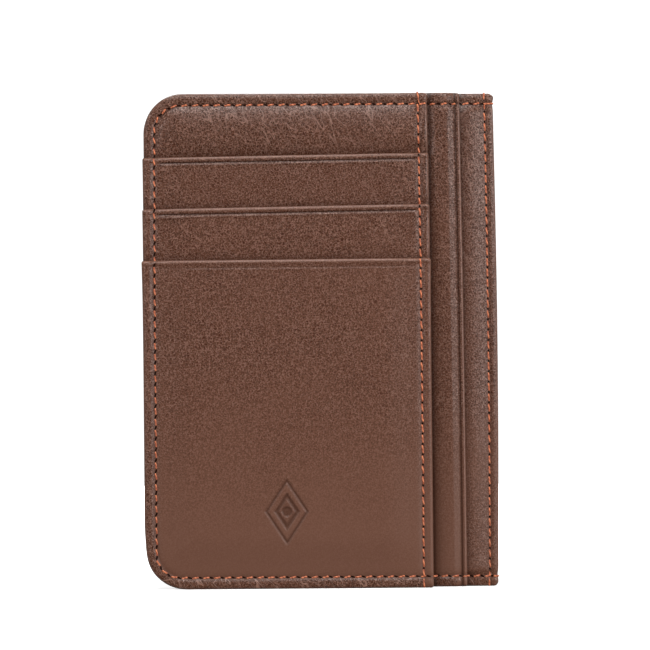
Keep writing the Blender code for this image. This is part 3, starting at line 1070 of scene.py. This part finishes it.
def stitchBlank(length):
    # a short rod along X, rounded and dipped at both ends
    deselectAll()
    bpy.ops.mesh.primitive_cylinder_add(
        vertices=stitch["sides"], radius=stitch["radius"] * mm, depth=length * 0.55 * mm,
        rotation=(0, math.radians(90), 0))
    rod = bpy.context.object
    bpy.ops.object.transform_apply(location=True, rotation=True, scale=True)
    for end in (-1, 1):
        bpy.ops.object.mode_set(mode="EDIT")
        bpy.ops.mesh.select_mode(type="FACE")
        bpy.ops.mesh.select_all(action="DESELECT")
        bpy.ops.object.mode_set(mode="OBJECT")
        for face in rod.data.polygons:
            face.select = face.normal.x * end > 0.9
        bpy.ops.object.mode_set(mode="EDIT")
        for reach, drop, shrink in ((0.14, 0.3, 0.92), (0.085, 0.7, 0.6)):
            bpy.ops.mesh.extrude_region_move(TRANSFORM_OT_translate={
                "value": (end * reach * length * mm, drop * stitch["dip"] * mm, 0)})
            bpy.ops.transform.resize(value=(1, shrink, shrink))
        bpy.ops.object.mode_set(mode="OBJECT")
    return rod


def holeBlank(length, width):
    # a short oval plug whose front is pressed in
    deselectAll()
    plug = needleHole["plug"] * mm
    bpy.ops.mesh.primitive_cylinder_add(
        vertices=needleHole["sides"], radius=0.5 * mm, depth=plug, location=(0, plug / 2, 0),
        rotation=(math.radians(90), 0, 0))
    oval = bpy.context.object
    oval.scale = (length, width, 1)
    bpy.ops.object.transform_apply(location=True, rotation=True, scale=True)
    bpy.ops.object.mode_set(mode="EDIT")
    bpy.ops.mesh.select_mode(type="FACE")
    bpy.ops.mesh.select_all(action="DESELECT")
    bpy.ops.object.mode_set(mode="OBJECT")
    for face in oval.data.polygons:
        face.select = face.normal.y < -0.9
    bpy.ops.object.mode_set(mode="EDIT")
    bpy.ops.mesh.inset(thickness=needleHole["rim"] * mm)
    bpy.ops.transform.translate(value=(0, needleHole["dish"] * mm, 0))
    bpy.ops.object.mode_set(mode="OBJECT")
    return oval


def placeCopy(blank, x, y, z, angle, behind=False):
    copied = blank.copy()
    copied.data = blank.data.copy()
    bpy.context.scene.collection.objects.link(copied)
    spin = Matrix.Rotation(-angle, 4, "Y")
    if behind:
        spin = Matrix.Rotation(math.pi, 4, "Z") @ Matrix.Rotation(angle, 4, "Y")
    copied.data.transform(Matrix.Translation(Vector((x, y, z)) * mm) @ spin)
    return copied


def joinPieces(pieces, name, finish, nodes):
    deselectAll()
    for piece in pieces:
        piece.select_set(True)
    bpy.context.view_layer.objects.active = pieces[0]
    bpy.ops.object.join()
    joined = bpy.context.object
    joined.name = name
    joined.data.name = name
    bpy.ops.object.shade_smooth_by_angle(angle=math.radians(50))
    joined.data.materials.clear()
    joined.data.materials.append(finishes[finish])
    if nodes:
        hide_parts(*nodes)
    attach(joined, "root")
    return joined


def wrapLoop(points, name):
    # thread laid over an edge, closed at its ends
    curve = bpy.data.curves.new(name, "CURVE")
    curve.dimensions = "3D"
    curve.bevel_depth = stitch["radius"] * mm
    curve.bevel_resolution = 2
    curve.use_fill_caps = True
    spline = curve.splines.new("NURBS")
    spline.points.add(len(points) - 1)
    for point, place in zip(spline.points, points):
        point.co = (*(Vector(place) * mm), 1)
    spline.use_endpoint_u = True
    spline.order_u = 3
    loop = bpy.data.objects.new(name, curve)
    bpy.context.scene.collection.objects.link(loop)
    makeActive(loop)
    bpy.ops.object.convert(target="MESH")
    bpy.ops.object.mode_set(mode="EDIT")
    bpy.ops.mesh.select_all(action="SELECT")
    bpy.ops.mesh.remove_doubles(threshold=0.00001)
    bpy.ops.object.mode_set(mode="OBJECT")
    return bpy.context.object


def seamPieces(kind, run, first, depthAt, behind=False):
    plan = seams[kind]
    rod = stitchBlank(plan["stitch"])
    oval = holeBlank(*plan["hole"])
    side = 1 if behind else -1
    draw = random.Random(kind + str(behind))
    stitches, holes = [], []
    distance = first
    while True:
        here = walk(run, distance)
        hole = walk(run, distance + plan["pitch"] / 2)
        if here is None:
            break
        x, z, angle = here
        lean = math.radians(plan["lean"] + draw.uniform(-stitch["unevenness"], stitch["unevenness"]))
        y = depthAt(x, z) - side * stitch["sunk"]
        stitches.append(placeCopy(rod, x, y, z, angle + lean, behind))
        if hole:
            x, z, angle = hole
            y = depthAt(x, z) + side * needleHole["proud"]
            uneven = needleHole["unevenness"]
            lean = math.radians(plan["holeLean"] + draw.uniform(-uneven, uneven))
            holes.append(placeCopy(oval, x, y, z, angle + lean, behind))
        distance += plan["pitch"]
    for blank in (rod, oval):
        bpy.data.objects.remove(blank)
    return stitches, holes


def wrapOver(x, z, edge, frontY, backY, toward, lean=0.0):
    # from a place on the front, over an edge above, below or beside it, and a little down the back
    stepX, stepZ = toward
    reach = edge + stitch["radius"] * 0.6
    thick = backY - frontY
    far = (x + lean, 0, edge) if stepZ else (edge, 0, z)
    points = [(x, frontY + 0.1, z)]
    for share, out, deep in ((0.5, -0.02, 0.0), (0.93, 0.0, 0.05), (1.04, 0.06, 0.5), (0.93, 0.0, 0.95)):
        px = x + (far[0] - x) * share + stepX * out
        pz = z + (far[2] - z) * share + stepZ * out
        points.append((px, frontY - 0.08 + (thick + 0.16) * deep, pz))
    points.append((points[-1][0] - stepX * 1.0, backY + 0.05, points[-1][2] - stepZ * 1.0))
    return points


def behindBase(x, z):
    return basePanel["back"]


def sewSeam(stitches, holes, name, node):
    joinPieces(stitches, name + "_stitches", "thread", [node])
    joinPieces(holes, name + "_holes", "hole", [])


height = wallet["height"]
perimeter = perimeterRun()
cardRun = uprightRun(cardSeam, 109.6, 2.1)
innerCardRun = uprightRun(cardSeam, height - 7.0, 7.0)
hemRun = uprightRun(hemSeam, 110.1, 1.7)
endWraps = {
    # X and Z of each end on the front, the edge's Z, its side, how far the thread leans, its ply
    "card": ((22.9, 109.7, height, 1, -0.45, basePanel), (23.0, 2.0, 0.0, -1, 0.1, frontPocket)),
    "hem": ((37.55, 110.2, height - 0.25, 1, 0.05, backPanel), (38.0, 1.9, 0.0, -1, 0.0, backPanel)),
}
edgeWrap = 1.3                # how far from the edge a wrap of the perimeter seam starts

stitches, holes = seamPieces("perimeter", perimeter, 0.9, surfaceAt)
for z in (perimeter[0][1], perimeter[-1][1]):
    edge = rightEdge(backPanel, np.array([z]))[0]
    start = edge - edgeWrap
    points = wrapOver(start, z, edge, surfaceAt(start, z), backPanel["back"], (1, 0))
    stitches.append(wrapLoop(points, "edge wrap"))
sewSeam(stitches, holes, "perimeter_front", "perimeter_front_thread")

for kind, run, first in (("card", cardRun, 1.17), ("hem", hemRun, 1.18)):
    stitches, holes = seamPieces(kind, run, first, surfaceAt)
    for x, z, edge, way, lean, ply in endWraps[kind]:
        points = wrapOver(x, z, edge, ply["front"], ply["foldedBack"], (0, way), lean)
        stitches.append(wrapLoop(points, "end wrap"))
    sewSeam(stitches, holes, kind + "_front", kind + "_seam_front_thread")

backSeams = {
    "perimeter_back": ("perimeter", perimeter, 2.1, backAt, "perimeter_back_thread"),
    "hem_back": ("hem", hemRun, 2.2, backAt, "hem_seam_back_thread"),
    "card_back": ("card", innerCardRun, 1.2, behindBase, "card_seam_back_thread"),
}
for name, (kind, run, first, depthAt, node) in backSeams.items():
    sewSeam(*seamPieces(kind, run, first, depthAt, behind=True), name, node)
print("seams are sewn")
